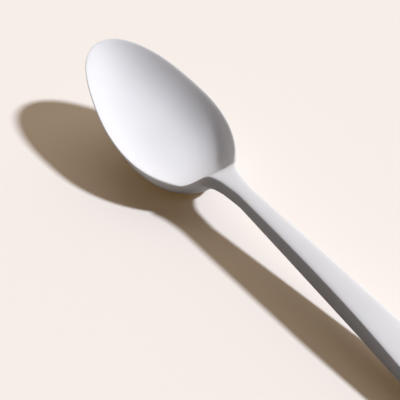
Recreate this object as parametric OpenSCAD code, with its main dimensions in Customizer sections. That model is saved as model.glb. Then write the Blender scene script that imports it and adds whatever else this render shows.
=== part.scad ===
// A table spoon moulded in one piece : an egg shaped bowl, a soft shoulder and a
// thick narrow neck that widens into the handle.
// X runs from the tip of the bowl to the end of the handle, Y across, Z up from the
// table. The spoon lies on the heel side of its bowl and on the end of its handle.

/* [Whole spoon] */
// Length from the tip of the bowl to the end of the handle
spoon_length = 200; // [185:1:220]

/* [Bowl outline] */
// Length of the bowl from its tip to its heel
bowl_length = 76.5; // [70:0.5:84]
// Width across the rim at the widest place
bowl_width = 42; // [36:0.5:48]
// Distance of the widest place from the tip
widest_at = 42.8; // [39:0.1:47]
// Radius of the outline at the tip
tip_radius = 10; // [7:0.1:13]
// Radius of the outline where it closes at the heel
heel_radius = 5.8; // [3:0.1:8]
// Fullness of the outline between its ends and the widest place
outline_fullness = 0.68; // [-0.5:0.02:1.6]

/* [Bowl hollow] */
// Depth of the outer shell below the rim
bowl_depth = 14.4; // [11:0.1:16.5]
// How flat the underside of the bowl is, 0 for a plain round one
floor_flatness = 0.95; // [0.3:0.05:1]
// How flat the floor of the hollow is, 0 for a plain round one
hollow_flatness = 0.7; // [0:0.05:0.95]
// How much shallower the hollow is than the shell
floor_wall = 3.2; // [1.2:0.1:4]
// Thickness of the rim's rounded edge
rim_thickness = 0.8; // [0.8:0.1:1.6]
// Width of the lip between the outline and the hollow
lip_width = 0.5; // [0.4:0.1:1.6]
// Distance from the heel to the end of the hollow
heel_lip = 1.1; // [1:0.1:4]
// Roundness of the shoulder where the hollow meets the neck
shoulder_softness = 2.5; // [1.5:0.25:4]

/* [Side profile] */
// Distance of the rim's lowest place from the tip
lowest_at = 67.9; // [60:0.1:70]
// Rise of the rim at the tip above its lowest place
tip_rise = 18.2; // [12:0.1:22]
// Rise of the rim at the front of the bowl
front_rise = 13.9; // [9:0.1:16]
// Rise of the rim half way along the bowl
middle_rise = 6.5; // [4:0.1:9]
// Rise of the back where the neck begins
heel_rise = 6.6; // [4:0.1:8.5]
// Distance from the heel to the crest of the neck
crest_distance = 9.3; // [5:0.1:12]
// Rise of the crest of the neck
neck_rise = 6.3; // [4:0.1:9]
// How far the middle of the handle arches above a straight line
handle_arch = 2.4; // [0:0.1:3]

/* [Neck and handle] */
// Width of the neck where it leaves the heel
heel_width = 8.2; // [5:0.1:12]
// Distance from the heel to where the neck is narrowest
neck_distance = 14.1; // [11:0.1:18]
// Width of the neck at its narrowest
neck_width = 5.6; // [4:0.1:7]
// Width of the handle a third of the way to its end
handle_width = 7.5; // [5:0.1:9]
// Width of the handle two thirds of the way to its end
grip_width = 10.7; // [8:0.1:13]
// Width of the handle at its end
end_width = 15.2; // [10:0.1:18]
// Height of the neck from top to underside
neck_height = 7.2; // [5:0.1:9]
// Height of the handle half way to its end
handle_height = 10.2; // [6:0.1:12]
// Height of the handle at its end
end_height = 8; // [5:0.1:10]
// Length over which the end of the handle is rounded
end_rounding = 8; // [5:0.25:12]
// Height of the crown across the top of the handle
edge_rounding = 0.5; // [0.4:0.1:2]
// Width of the crown's curve at each side, as a share of half the handle's width
edge_share = 0.95; // [0.3:0.05:1]
// How square the underside of the handle is
underside_squareness = 4; // [2.5:0.25:6]
// Softness of the fillets between the bowl's outline and the neck
fillet_softness = 80; // [60:1:160]
// Length of the root of the handle under the heel of the bowl
root_length = 13.3; // [10:0.1:20]
// How quickly the sides of the root fade out under the bowl
root_fade = 3.1; // [1:0.1:8]
// Softness of the joint between the root and the bowl
root_softness = 3.7; // [1:0.1:6]

/* [Hidden] */

// the back's own height is set this far behind the heel
heel_setback = 1;

// places along the spoon
front_place = 0.2 * bowl_length;
middle_place = 0.5 * bowl_length;
heel_place = bowl_length + heel_setback;
crest_place = bowl_length + crest_distance;
neck_place = bowl_length + neck_distance;
handle_place = (neck_place + spoon_length) / 2;
arch_place = (crest_place + spoon_length) / 2;
round_start = spoon_length - end_rounding;
half_bowl = bowl_width / 2;
bowl_square = half_bowl * half_bowl;
rim_half = rim_thickness / 2;
rim_reach = 0.6 * rim_thickness;
hollow_depth = bowl_depth - floor_wall;
rim_softness = 0.5;

// how square the end of the handle is, seen from above
end_squareness = 2.2;

// the falls outside the outline go on down to these shares of the bowl's depth
shell_low = -0.5;
hollow_low = -0.6;

// smallest squared half width and smallest softness
tiny_square = 0.000001;
tiny_softness = 0.01;

// the bowl's rest is looked for up to this far from the heel, in this many rounds
heel_margin = 5;
settle_rounds = 8;

// numbers of stations and of steps across
tip_steps = 20;
heel_steps = 30;
handle_steps = 16;
end_steps = 9;
edge_steps = 4;
flat_steps = 8;

function blend_max(a, b, k) =
    let (h = max(k - abs(a - b), 0) / k)
    max(a, b) + h * h * k / 4;

function clamp01(t) = min(max(t, 0), 1);

function soft_step(t) =
    let (c = clamp01(t))
    c * c * (3 - 2 * c);

function round_off(t, power) = pow(max(1 - pow(clamp01(t), power), 0), 1 / power);

// square of the half width of an egg outline between from_x and to_x
function egg_square(x, from_x, to_x, half, wide_x, tip_r, heel_r) =
    let (
        span = to_x - from_x,
        u = (x - from_x) / span,
        um = (wide_x - from_x) / span,
        q0 = 2 * tip_r / span,
        q1 = 2 * heel_r / span,
        p = um * (1 - um),
        q_wide = half * half / (span * span * p),
        q_slope = -(1 - 2 * um) * q_wide / p,
        c = (q_wide - q0 - (q1 - q0) * um) / p,
        b = (q_slope - (q1 - q0) - (1 - 2 * um) * c) / p,
        a = c - b * um,
        q = q0 + (q1 - q0) * u + u * (1 - u) * (a + b * u + outline_fullness * pow(u - um, 2))
    )
    span * span * u * (1 - u) * q;

// the same outline, carried on with a straight fall past both ends
function outline_square(x, inset, heel_inset) =
    let (
        from_x = inset,
        to_x = bowl_length - heel_inset,
        near_x = min(max(x, from_x), to_x)
    )
    egg_square(near_x, from_x, to_x, half_bowl - inset, widest_at, tip_radius, heel_radius)
    - 2 * tip_radius * max(from_x - x, 0)
    - 2 * heel_radius * max(x - to_x, 0);

// slope of a smooth curve through the points at place k, level at a crest or a low place
function inner_slope(xs, zs, k) =
    let (
        before = (zs[k] - zs[k - 1]) / (xs[k] - xs[k - 1]),
        after = (zs[k + 1] - zs[k]) / (xs[k + 1] - xs[k])
    )
    zs[k] <= min(zs[k - 1], zs[k + 1]) || zs[k] >= max(zs[k - 1], zs[k + 1]) ? 0
    : 2 * before * after / (before + after);

function slope(xs, zs, k) =
    let (last = len(xs) - 1)
    k == 0 ? 1.5 * (zs[1] - zs[0]) / (xs[1] - xs[0]) - 0.5 * inner_slope(xs, zs, 1)
    : k == last ? 1.5 * (zs[last] - zs[last - 1]) / (xs[last] - xs[last - 1])
        - 0.5 * inner_slope(xs, zs, last - 1)
    : inner_slope(xs, zs, k);

function smooth_curve(xs, zs, x) =
    let (
        k = max([for (i = [0 : len(xs) - 2]) x >= xs[i] ? i : 0]),
        h = xs[k + 1] - xs[k],
        t = (x - xs[k]) / h,
        t2 = t * t,
        t3 = t2 * t
    )
    (2 * t3 - 3 * t2 + 1) * zs[k] + (t3 - 2 * t2 + t) * h * slope(xs, zs, k)
    + (3 * t2 - 2 * t3) * zs[k + 1] + (t3 - t2) * h * slope(xs, zs, k + 1);

// half width and height of the handle
width_places = [for (i = [0 : 3]) neck_place + (spoon_length - neck_place) * i / 3];
half_widths = [neck_width / 2, handle_width / 2, grip_width / 2, end_width / 2];
height_places = [neck_place, handle_place, spoon_length];
handle_heights = [neck_height, handle_height, end_height];

// share of the neck's spread towards the heel
function heel_part(x) = soft_step((neck_place - x) / neck_distance);

function handle_half(x) =
    smooth_curve(width_places, half_widths, max(x, neck_place))
    + (heel_width - neck_width) / 2 * heel_part(x);

function body_height(x) = smooth_curve(height_places, handle_heights, max(x, neck_place));
function end_part(x) = (x - round_start) / end_rounding;
function end_shrink(x) = round_off(end_part(x), 2);
function root_part(x) = soft_step((x - bowl_length + root_length) / root_length);

// share of half the handle's width that the crown's curve takes, all of it at the end
function edge_part(x) = edge_share + (1 - edge_share) * soft_step(end_part(x));

function edge_reach(x, width) =
    min(rim_reach + (edge_part(x) * width - rim_reach) * root_part(x), width);

function half_width(x) =
    let (
        square = outline_square(x, 0, 0),
        handle = handle_half(x)
    )
    x < widest_at ? sqrt(max(square, tiny_square))
    : sqrt(blend_max(square, handle * handle, fillet_softness)) * round_off(end_part(x), end_squareness);

// height from the upper face down to the widest line of the section
function upper_part(x) =
    let (plain = rim_half + (edge_rounding - rim_half) * root_part(x))
    plain + (body_height(x) / 2 - plain) * (1 - end_shrink(x));

function shell_curve(s, flatness) = s + flatness * s * (1 - s);

// how far the underside lies below the widest line, without end rounding
function lower_part(x, y) =
    let (
        s = (outline_square(x, 0, 0) - y * y) / bowl_square,
        shell = bowl_depth * shell_curve(max(s, shell_low), floor_flatness),
        width = half_width(x),
        squareness = 2 + (underside_squareness - 2) * (1 - soft_step(end_part(x))),
        fall = 1 / squareness + root_fade * (1 - pow(root_part(x), 2)),
        root = (body_height(x) - upper_part(x)) * root_part(x)
            * pow(max(1 - pow(clamp01(abs(y) / width), squareness), 0), fall)
    )
    max(blend_max(shell, root, root_softness * root_part(x) + tiny_softness), 0);

// depth of the hollow below the upper face
function hollow_part(x, y) =
    let (
        s = (outline_square(x, lip_width, heel_lip) - y * y) / bowl_square,
        soft = rim_softness + (shoulder_softness - rim_softness) * root_part(x)
    )
    blend_max(hollow_depth * shell_curve(min(max(s, hollow_low), 1), hollow_flatness), 0, soft);

// share of the full section kept at the two ends of the spoon
function section_share(x) =
    let (t = min(x / rim_reach, 1))
    min(sqrt(1 - (1 - t) * (1 - t)), end_shrink(x));

// upper line of the spoon seen from the side, for a rim and an end at given heights
profile_places = [
    0, front_place, middle_place, lowest_at, heel_place, crest_place, arch_place, spoon_length
];

function profile(rim_height, end_top) = [
    rim_height + tip_rise,
    rim_height + front_rise,
    rim_height + middle_rise,
    rim_height,
    rim_height + heel_rise,
    rim_height + neck_rise,
    (rim_height + neck_rise + end_top) / 2 + handle_arch,
    end_top
];

function underside(x, heights) =
    smooth_curve(profile_places, heights, x) - upper_part(x) - lower_part(x, 0) * section_share(x);

// stations along the spoon, closer together where the outline turns quickly
stations = concat(
    [for (i = [1 : tip_steps]) widest_at * (1 - cos(90 * i / tip_steps))],
    [for (i = [1 : heel_steps]) widest_at + (neck_place - widest_at) * i / heel_steps],
    [for (i = [1 : handle_steps]) neck_place + (round_start - neck_place) * i / handle_steps],
    [for (i = [1 : end_steps - 1]) round_start + end_rounding * sin(90 * i / end_steps)]
);
bowl_stations = [for (x = stations) if (x < bowl_length - heel_margin) x];
handle_stations = [for (x = stations) if (x > arch_place) x];

// heights at which both the bowl and the handle's end just touch the table
function settle(rim_height, end_top, rounds) =
    let (
        heights = profile(rim_height, end_top),
        bowl_gap = min([for (x = bowl_stations) underside(x, heights)]),
        end_gap = min([for (x = handle_stations) underside(x, heights)])
    )
    rounds < 1 ? heights : settle(rim_height - bowl_gap, end_top - end_gap, rounds - 1);

heights = settle(bowl_depth, end_height, settle_rounds);

// steps across one station, from the near edge to the far one
function across(x) =
    let (
        width = half_width(x),
        reach = edge_reach(x, width),
        steps = concat(
            [for (i = [0 : edge_steps]) reach * (1 - cos(90 * i / edge_steps))],
            [for (i = [1 : flat_steps]) reach + (width - reach) * i / flat_steps]
        ),
        count = len(steps)
    )
    concat(
        [for (i = [0 : count - 1]) steps[i] - width],
        [for (i = [count - 2 : -1 : 0]) width - steps[i]]
    );

// rise of a round edge, from 0 on the outline to 1 at the given reach inside it
function edge_rise(inside, reach) =
    let (t = 1 - clamp01(inside / reach))
    sqrt(1 - t * t);

function upper_z(x, y) =
    let (
        width = half_width(x),
        reach = edge_reach(x, width),
        upper = upper_part(x)
    )
    smooth_curve(profile_places, heights, x) - upper
    + upper * section_share(x) * edge_rise(width - abs(y), reach)
    - hollow_part(x, y);

function lower_z(x, y) =
    let (width = half_width(x))
    smooth_curve(profile_places, heights, x) - upper_part(x)
    - lower_part(x, y) * section_share(x) * edge_rise(width - abs(y), min(rim_reach, width));

// closed ring of points round one station : over the top and back underneath
function ring(x) =
    let (
        ys = across(x),
        last = len(ys) - 1
    )
    concat(
        [for (i = [0 : last]) [x, ys[i], upper_z(x, ys[i])]],
        [for (i = [last - 1 : -1 : 1]) [x, ys[i], lower_z(x, ys[i])]]
    );

ring_size = 4 * (edge_steps + flat_steps);
ring_count = len(stations);
tip_point = [0, 0, heights[0] - rim_half];
end_point = [spoon_length, 0, heights[len(heights) - 1] - upper_part(spoon_length)];
skin_points = concat(
    [for (x = stations) each ring(x)],
    [tip_point, end_point]
);
tip_index = ring_size * ring_count;
end_index = tip_index + 1;
last_ring = ring_size * (ring_count - 1);
skin_faces = concat(
    [for (j = [0 : ring_size - 1]) [tip_index, (j + 1) % ring_size, j]],
    [
        for (i = [0 : ring_count - 2], j = [0 : ring_size - 1])
            let (
                a = i * ring_size + j,
                b = i * ring_size + (j + 1) % ring_size,
                c = b + ring_size,
                d = a + ring_size
            )
            each [[a, b, c], [a, c, d]]
    ],
    [for (j = [0 : ring_size - 1]) [last_ring + j, last_ring + (j + 1) % ring_size, end_index]]
);

module spoon() {
    color([0.88, 0.88, 0.9])
        translate([-spoon_length / 2, 0, 0])
            polyhedron(points = skin_points, faces = skin_faces, convexity = 6);
}

spoon();
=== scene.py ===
import math

import bpy
import numpy as np
from mathutils import Matrix, Vector


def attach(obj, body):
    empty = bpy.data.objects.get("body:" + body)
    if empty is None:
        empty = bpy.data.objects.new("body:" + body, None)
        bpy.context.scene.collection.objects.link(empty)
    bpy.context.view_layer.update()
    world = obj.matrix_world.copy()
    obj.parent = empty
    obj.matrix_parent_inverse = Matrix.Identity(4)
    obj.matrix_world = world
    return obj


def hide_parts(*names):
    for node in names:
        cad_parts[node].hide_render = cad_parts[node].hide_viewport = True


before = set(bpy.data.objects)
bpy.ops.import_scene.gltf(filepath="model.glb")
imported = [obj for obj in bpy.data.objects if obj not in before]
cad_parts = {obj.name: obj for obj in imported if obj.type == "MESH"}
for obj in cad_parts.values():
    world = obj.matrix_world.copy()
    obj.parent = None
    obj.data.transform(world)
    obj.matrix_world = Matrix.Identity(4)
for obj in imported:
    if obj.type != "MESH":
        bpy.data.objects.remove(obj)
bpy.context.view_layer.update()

MM_PER_METRE = 1000

# The same named sizes and curves as the solid has, in millimetres, sampled finer.
SIZES = dict(
    spoon_length=200.0, bowl_length=76.5, bowl_width=42.0, widest_at=42.8, tip_radius=10.0,
    heel_radius=5.8, outline_fullness=0.68, bowl_depth=14.4, floor_flatness=0.95, floor_wall=3.2,
    rim_thickness=0.8, lip_width=0.5, heel_lip=1.1, shoulder_softness=2.5, tip_rise=18.2,
    front_rise=13.9, middle_rise=6.5, heel_rise=6.6, neck_rise=6.3, handle_arch=2.4,
    neck_width=5.6, handle_width=7.5, grip_width=10.7, end_width=15.2, neck_height=7.2,
    handle_height=10.2, end_height=8.0, end_rounding=8.0, edge_rounding=0.5, edge_share=0.95,
    underside_squareness=4.0, fillet_softness=80.0, root_length=13.3, root_fade=3.1,
    root_softness=3.7, hollow_flatness=0.7, lowest_at=67.9, neck_distance=14.1,
    crest_distance=9.3, heel_width=8.2,
)

# Fixed values of the curves, the same as in the solid's source.
FRONT_SHARE = 0.2  # place of the bowl's front height, as a share of its length
MIDDLE_SHARE = 0.5
HEEL_SETBACK = 1  # the back's own height is set this far behind the heel
RIM_SHARE = 0.6  # reach of the rim's rounding, as a share of its thickness
RIM_SOFTNESS = 0.5
END_SQUARENESS = 2.2  # how square the end of the handle is, seen from above
SHELL_LOW = -0.5  # the falls outside the outline go on down to these shares
HOLLOW_LOW = -0.6
TINY_SQUARE = 1e-6
TINY_SOFTNESS = 0.01
TINY_SLOPE = 1e-12
HEEL_MARGIN = 5  # the bowl's rest is looked for up to this far from the heel
SETTLE_ROUNDS = 8

# Numbers of stations along the spoon, and of steps across each of them.
STATIONS = dict(tip_steps=48, heel_steps=84, handle_steps=60, end_steps=20)
ACROSS = dict(edge_steps=10, flat_steps=26)


def blend_max(a, b, k):
    """The larger of two values, with a rounded change from one to the other."""
    h = np.maximum(k - np.abs(a - b), 0) / k
    return np.maximum(a, b) + h * h * k / 4


def round_off(t, power):
    return np.maximum(1 - np.clip(t, 0, 1) ** power, 0) ** (1 / power)


def soft_step(t):
    c = np.clip(t, 0, 1)
    return c * c * (3 - 2 * c)


def shell_curve(s, flatness):
    return s + flatness * s * (1 - s)


def column(values):
    """One value for each station, ready to meet the steps across."""
    return values[:, None]


def smooth_curve(xs, zs, x):
    """A smooth curve through the points, level at a crest or a low place."""
    xs = np.asarray(xs, float)
    zs = np.asarray(zs, float)
    h = np.diff(xs)
    d = np.diff(zs) / h
    before, after = d[:-1], d[1:]
    m = np.empty(len(xs))
    m[1:-1] = np.where(before * after > 0,
                       2 * before * after / (before + after + TINY_SLOPE), 0)
    m[0] = 1.5 * d[0] - 0.5 * m[1]
    m[-1] = 1.5 * d[-1] - 0.5 * m[-2]
    k = np.clip(np.searchsorted(xs, x, side="right") - 1, 0, len(xs) - 2)
    t = (x - xs[k]) / h[k]
    return ((2 * t**3 - 3 * t**2 + 1) * zs[k] + (t**3 - 2 * t**2 + t) * h[k] * m[k]
            + (3 * t**2 - 2 * t**3) * zs[k + 1] + (t**3 - t**2) * h[k] * m[k + 1])


def outline_square(v, x, inset, heel_inset):
    """Square of the half width of the egg outline, carried on with a fall past both ends."""
    tip_r, heel_r = v["tip_radius"], v["heel_radius"]
    from_x, to_x = inset, v["bowl_length"] - heel_inset
    near = np.clip(x, from_x, to_x)
    span = to_x - from_x
    u = (near - from_x) / span
    um = (v["widest_at"] - from_x) / span
    q0, q1 = 2 * tip_r / span, 2 * heel_r / span
    p = um * (1 - um)
    q_wide = (v["bowl_width"] / 2 - inset) ** 2 / (span**2 * p)
    q_slope = -(1 - 2 * um) * q_wide / p
    c = (q_wide - q0 - (q1 - q0) * um) / p
    b = (q_slope - (q1 - q0) - (1 - 2 * um) * c) / p
    a = c - b * um
    fullness = v["outline_fullness"] * (u - um) ** 2
    q = q0 + (q1 - q0) * u + u * (1 - u) * (a + b * u + fullness)
    return (span**2 * u * (1 - u) * q - 2 * tip_r * np.maximum(from_x - x, 0)
            - 2 * heel_r * np.maximum(x - to_x, 0))


def stations_along(v, neck_place, round_start, tip_steps, heel_steps, handle_steps, end_steps):
    """Places along the spoon, closer together where the outline turns quickly."""
    wide = v["widest_at"]
    turn = np.arange(1, tip_steps + 1) / tip_steps * np.pi / 2
    end_turn = np.arange(1, end_steps) / end_steps * np.pi / 2
    heel_part = np.arange(1, heel_steps + 1)
    handle_part = np.arange(1, handle_steps + 1)
    return np.concatenate([
        wide * (1 - np.cos(turn)),
        wide + (neck_place - wide) * heel_part / heel_steps,
        neck_place + (round_start - neck_place) * handle_part / handle_steps,
        round_start + v["end_rounding"] * np.sin(end_turn),
    ])


def steps_across(width, reach, edge_steps, flat_steps):
    """Places across each station, from the near edge to the far one."""
    arc = np.arange(edge_steps + 1) / edge_steps * np.pi / 2
    flat = np.arange(1, flat_steps + 1) / flat_steps
    steps = np.concatenate([column(reach) * (1 - np.cos(arc)),
                            column(reach) + column(width - reach) * flat], 1)
    return np.concatenate([steps - column(width), (column(width) - steps)[:, -2::-1]], 1)


def spoon_grids(v):
    """Upper and lower faces of the spoon as grids of points in millimetres."""
    length, bowl = v["spoon_length"], v["bowl_length"]
    bowl_square = (v["bowl_width"] / 2) ** 2
    neck_place = bowl + v["neck_distance"]
    crest_place = bowl + v["crest_distance"]
    arch_place = (crest_place + length) / 2
    round_start = length - v["end_rounding"]
    rim_half = v["rim_thickness"] / 2
    rim_reach = RIM_SHARE * v["rim_thickness"]
    hollow_depth = v["bowl_depth"] - v["floor_wall"]

    x = stations_along(v, neck_place, round_start, **STATIONS)
    past_neck = np.maximum(x, neck_place)
    end_part = (x - round_start) / v["end_rounding"]
    end_shrink = round_off(end_part, 2)
    root_part = soft_step((x - bowl + v["root_length"]) / v["root_length"])

    # half width, and height of the handle
    spare = length - neck_place
    width_places = [neck_place, neck_place + spare / 3, neck_place + spare * 2 / 3, length]
    half_widths = [v[name] / 2 for name in
                   ("neck_width", "handle_width", "grip_width", "end_width")]
    heel_part = soft_step((neck_place - x) / v["neck_distance"])
    handle_half = (smooth_curve(width_places, half_widths, past_neck)
                   + (v["heel_width"] - v["neck_width"]) / 2 * heel_part)
    height = smooth_curve([neck_place, (neck_place + length) / 2, length],
                          [v["neck_height"], v["handle_height"], v["end_height"]], past_neck)
    square = outline_square(v, x, 0, 0)
    joined = np.sqrt(blend_max(square, handle_half**2, v["fillet_softness"]))
    width = np.where(x < v["widest_at"], np.sqrt(np.maximum(square, TINY_SQUARE)),
                     joined * round_off(end_part, END_SQUARENESS))

    # height from the upper face down to the widest line, and reach of the rounded edge
    upper = rim_half + (v["edge_rounding"] - rim_half) * root_part
    upper = upper + (height / 2 - upper) * (1 - end_shrink)
    t = np.minimum(x / rim_reach, 1)
    share = np.minimum(np.sqrt(1 - (1 - t) ** 2), end_shrink)
    edge_part = v["edge_share"] + (1 - v["edge_share"]) * soft_step(end_part)
    reach = np.minimum(rim_reach + (edge_part * width - rim_reach) * root_part, width)

    y = steps_across(width, reach, **ACROSS)
    inside = column(width) - np.abs(y)

    def edge_rise(limit):
        t = 1 - np.clip(inside / column(limit), 0, 1)
        return np.sqrt(np.maximum(1 - t * t, 0))

    # depth of the underside below the widest line : the bowl's shell and the handle's root
    s = (column(square) - y**2) / bowl_square
    shell = v["bowl_depth"] * shell_curve(np.maximum(s, SHELL_LOW), v["floor_flatness"])
    squareness = 2 + (v["underside_squareness"] - 2) * (1 - soft_step(end_part))
    fall = 1 / squareness + v["root_fade"] * (1 - root_part**2)
    across = np.clip(np.abs(y) / column(width), 0, 1)
    root = (column((height - upper) * root_part)
            * np.maximum(1 - across ** column(squareness), 0) ** column(fall))
    softness = column(v["root_softness"] * root_part + TINY_SOFTNESS)
    lower = np.maximum(blend_max(shell, root, softness), 0)

    # depth of the hollow below the upper face
    s_in = (column(outline_square(v, x, v["lip_width"], v["heel_lip"])) - y**2) / bowl_square
    shoulder = column(RIM_SOFTNESS + (v["shoulder_softness"] - RIM_SOFTNESS) * root_part)
    floor_curve = shell_curve(np.clip(s_in, HOLLOW_LOW, 1), v["hollow_flatness"])
    hollow = blend_max(hollow_depth * floor_curve, 0, shoulder)

    # upper line seen from the side, settled until bowl and handle's end touch the table
    profile_places = [0, FRONT_SHARE * bowl, MIDDLE_SHARE * bowl, v["lowest_at"],
                      bowl + HEEL_SETBACK, crest_place, arch_place, length]
    middle = y.shape[1] // 2

    def profile(rim, end_top):
        return [rim + v["tip_rise"], rim + v["front_rise"], rim + v["middle_rise"], rim,
                rim + v["heel_rise"], rim + v["neck_rise"],
                (rim + v["neck_rise"] + end_top) / 2 + v["handle_arch"], end_top]

    rim, end_top = v["bowl_depth"], v["end_height"]
    for _ in range(SETTLE_ROUNDS):
        side_line = smooth_curve(profile_places, profile(rim, end_top), x)
        under = side_line - upper - lower[:, middle] * share
        rim, end_top = (rim - under[x < bowl - HEEL_MARGIN].min(),
                        end_top - under[x > arch_place].min())
    heights = profile(rim, end_top)
    line = smooth_curve(profile_places, heights, x) - upper
    top = column(line) + column(upper * share) * edge_rise(reach) - hollow
    bottom = column(line) - lower * column(share) * edge_rise(np.minimum(rim_reach, width))
    xx = np.repeat(column(x), y.shape[1], 1)
    tip = (0.0, 0.0, heights[0] - rim_half)
    end = (length, 0.0, heights[-1] - height[-1] / 2)
    return np.stack([xx, y, top], -1), np.stack([xx, y, bottom], -1), tip, end


def build_spoon():
    """One closed skin of rings around the spoon, with a point at each end."""
    top, bottom, tip, end = spoon_grids(SIZES)
    rings = np.concatenate([top, bottom[:, -2:0:-1]], 1)
    count, size = rings.shape[:2]
    middle = [SIZES["spoon_length"] / 2, 0, 0]
    points = (np.concatenate([rings.reshape(-1, 3), [tip, end]]) - middle) / MM_PER_METRE
    tip_i, end_i = count * size, count * size + 1
    around = [(a, (a + 1) % size) for a in range(size)]
    faces = [(tip_i, a, b) for a, b in around]
    for o in range(0, (count - 1) * size, size):
        faces += [(o + a, o + size + a, o + size + b, o + b) for a, b in around]
    o = (count - 1) * size
    faces += [(o + b, o + a, end_i) for a, b in around]
    mesh = bpy.data.meshes.new("spoon_skin")
    mesh.from_pydata([tuple(p) for p in points.tolist()], [], faces)
    mesh.validate()
    mesh.update()
    for f in mesh.polygons:
        f.use_smooth = True
    piece = bpy.data.objects.new("spoon_skin", mesh)
    bpy.context.scene.collection.objects.link(piece)
    return piece


def new_material(name):
    material = bpy.data.materials.new(name)
    material.use_nodes = True
    return material, material.node_tree.nodes, material.node_tree.links


def set_inputs(node, values):
    for name, value in values.items():
        node.inputs[name].default_value = value


def add_node(nodes, kind, values):
    """A new node, with numbers and colours set on its own sockets."""
    node = nodes.new(kind)
    set_inputs(node, values)
    return node


def silicone():
    """Matte silicone : light scatters under the surface, with fine grain and faint clouds."""
    material, nodes, links = new_material("silicone")
    bsdf = nodes["Principled BSDF"]
    set_inputs(bsdf, {
        "IOR": 1.41,
        "Specular IOR Level": 0.35,
        "Subsurface Weight": 0.5,
        "Subsurface Radius": (1.0, 0.9, 0.8),
        "Subsurface Scale": 0.003,
        "Sheen Weight": 0.05,
        "Sheen Roughness": 0.6,
    })
    place = nodes.new("ShaderNodeTexCoord")

    cloud = add_node(nodes, "ShaderNodeTexNoise", {"Scale": 26, "Detail": 3})
    links.new(place.outputs["Object"], cloud.inputs["Vector"])
    tint = nodes.new("ShaderNodeValToRGB")
    for stop, position, colour in zip(tint.color_ramp.elements, (0.3, 0.72),
                                      ((0.664, 0.662, 0.687, 1), (0.686, 0.684, 0.711, 1))):
        stop.position = position
        stop.color = colour
    links.new(cloud.outputs["Fac"], tint.inputs["Fac"])
    links.new(tint.outputs["Color"], bsdf.inputs["Base Color"])

    grain = add_node(nodes, "ShaderNodeTexNoise", {"Scale": 2600, "Detail": 2})
    links.new(place.outputs["Object"], grain.inputs["Vector"])
    rough = add_node(nodes, "ShaderNodeMapRange", {"To Min": 0.56, "To Max": 0.68})
    links.new(cloud.outputs["Fac"], rough.inputs["Value"])
    links.new(rough.outputs["Result"], bsdf.inputs["Roughness"])
    bump = add_node(nodes, "ShaderNodeBump", {"Strength": 0.04, "Distance": 0.0001})
    links.new(grain.outputs["Fac"], bump.inputs["Height"])
    links.new(bump.outputs["Normal"], bsdf.inputs["Normal"])
    return material


TABLE_SIZE = 6
SEEN_TABLE = (0.81, 0.795, 0.795, 1)
# Painted warm fill: the table glows this faint warm light of its own, so that the spoon's shadow
# on it looks brown.
PAINTED_WARM_FILL = (0.09, 0.047, 0.01, 1)
BOUNCING_TABLE = (0.33, 0.305, 0.28, 1)


def table():
    """A pale table for the camera and for reflections, which throws less light on the spoon. For
    the camera and in reflections it also glows a faint warm light of its own, a painted warm
    fill that turns the spoon's shadow on it brown.
    """
    bpy.ops.mesh.primitive_plane_add(size=TABLE_SIZE, location=(0, 0, 0))
    floor = bpy.context.object
    floor.name = "table"
    material, nodes, links = new_material("table")
    nodes.remove(nodes["Principled BSDF"])
    seen = add_node(nodes, "ShaderNodeBsdfDiffuse", {"Color": SEEN_TABLE})
    # painted warm fill: a faint warm glow added to the table's seen colour, which browns the
    # shadow on it
    painted_fill = add_node(nodes, "ShaderNodeEmission", {"Color": PAINTED_WARM_FILL})
    seen_and_painted_fill = nodes.new("ShaderNodeAddShader")
    links.new(seen.outputs["BSDF"], seen_and_painted_fill.inputs[0])
    links.new(painted_fill.outputs["Emission"], seen_and_painted_fill.inputs[1])
    dim = add_node(nodes, "ShaderNodeBsdfDiffuse", {"Color": BOUNCING_TABLE})
    rays = nodes.new("ShaderNodeLightPath")
    is_seen = rays.outputs["Is Camera Ray"]
    for ray in ("Is Glossy Ray", "Is Transmission Ray"):
        either = nodes.new("ShaderNodeMath")
        either.operation = "MAXIMUM"
        links.new(is_seen, either.inputs[0])
        links.new(rays.outputs[ray], either.inputs[1])
        is_seen = either.outputs["Value"]
    choice = nodes.new("ShaderNodeMixShader")
    links.new(is_seen, choice.inputs["Fac"])
    links.new(dim.outputs["BSDF"], choice.inputs[1])
    links.new(seen_and_painted_fill.outputs["Shader"], choice.inputs[2])
    links.new(choice.outputs["Shader"], nodes["Material Output"].inputs["Surface"])
    floor.data.materials.append(material)


spoon = build_spoon()
spoon.data.materials.append(silicone())
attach(spoon, "root")
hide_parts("spoon")
table()

# The view, with angles in degrees : the camera's tilt below level and its roll, the spoon's
# turn on the table, the spoon's tip from the middle of the view in millimetres, one over the
# camera's distance in millimetres, and the picture's pixels per millimetre.
VIEW = dict(tilt=40.94, roll=-3.31, turn=57.68, tip_x=-33.13, tip_y=57.66,
            nearness=0.00255, scale=2.8580)
PICTURE_WIDTH = 400
SENSOR_WIDTH = 36
NEAREST_SEEN = 0.01

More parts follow.
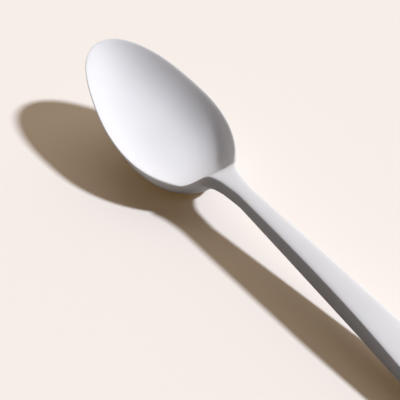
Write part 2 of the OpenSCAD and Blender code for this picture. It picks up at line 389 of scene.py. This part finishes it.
# The lamps : the way the light travels, with the picture's right as X and away as Y, its
# energy, its spread in degrees and its colour.
KEY = dict(travel=(-1.050, 0.197, -1.0), energy=3.81, spread=5, colour=(0.948, 0.963, 1.0))
FILL = dict(travel=(-0.4, -0.95, -1), energy=0.92, spread=76, colour=(1.0, 0.834, 0.64))
WORLD_COLOUR = (1.0, 1.0, 1.0, 1)
WORLD_STRENGTH = 0.046

tilt, roll, turn = (math.radians(VIEW[name]) for name in ("tilt", "roll", "turn"))


def to_row(v):
    """A direction of the photograph's table, X right and Y away, in the spoon's own axes."""
    x, y, z = v
    return Vector((x * math.cos(turn) - y * math.sin(turn),
                   x * math.sin(turn) + y * math.cos(turn), z))


def add_camera():
    right = Vector((1, 0, 0))
    up = Vector((0, math.sin(tilt), math.cos(tilt)))
    ahead = Vector((0, math.cos(tilt), -math.sin(tilt)))
    image_right = right * math.cos(roll) + up * math.sin(roll)
    image_up = up * math.cos(roll) - right * math.sin(roll)
    distance = 1 / VIEW["nearness"]
    place = to_row(-ahead * distance - Vector((VIEW["tip_x"], VIEW["tip_y"], 0)))
    place = (place - Vector((SIZES["spoon_length"] / 2, 0, 0))) / MM_PER_METRE
    axes = [to_row(image_right), to_row(image_up), to_row(-ahead)]
    data = bpy.data.cameras.new("camera")
    data.sensor_width = SENSOR_WIDTH
    data.lens = SENSOR_WIDTH * VIEW["scale"] * distance / PICTURE_WIDTH
    data.clip_start = NEAREST_SEEN
    camera = bpy.data.objects.new("camera", data)
    rows = [[axis[r] for axis in axes] + [place[r]] for r in range(3)]
    camera.matrix_world = Matrix(rows + [[0, 0, 0, 1]])
    bpy.context.scene.collection.objects.link(camera)
    bpy.context.scene.camera = camera


def add_sun(name, travel, energy, spread, colour):
    data = bpy.data.lights.new(name, "SUN")
    data.energy = energy
    data.angle = math.radians(spread)
    data.color = colour
    lamp = bpy.data.objects.new(name, data)
    lamp.rotation_mode = "QUATERNION"
    lamp.rotation_quaternion = to_row(travel).normalized().to_track_quat("-Z", "Y")
    bpy.context.scene.collection.objects.link(lamp)


add_camera()
add_sun("key", **KEY)
add_sun("fill", **FILL)

world = bpy.data.worlds.new("world")
bpy.context.scene.world = world
world.use_nodes = True
set_inputs(world.node_tree.nodes["Background"],
           {"Color": WORLD_COLOUR, "Strength": WORLD_STRENGTH})

bpy.context.scene.view_settings.view_transform = "Standard"
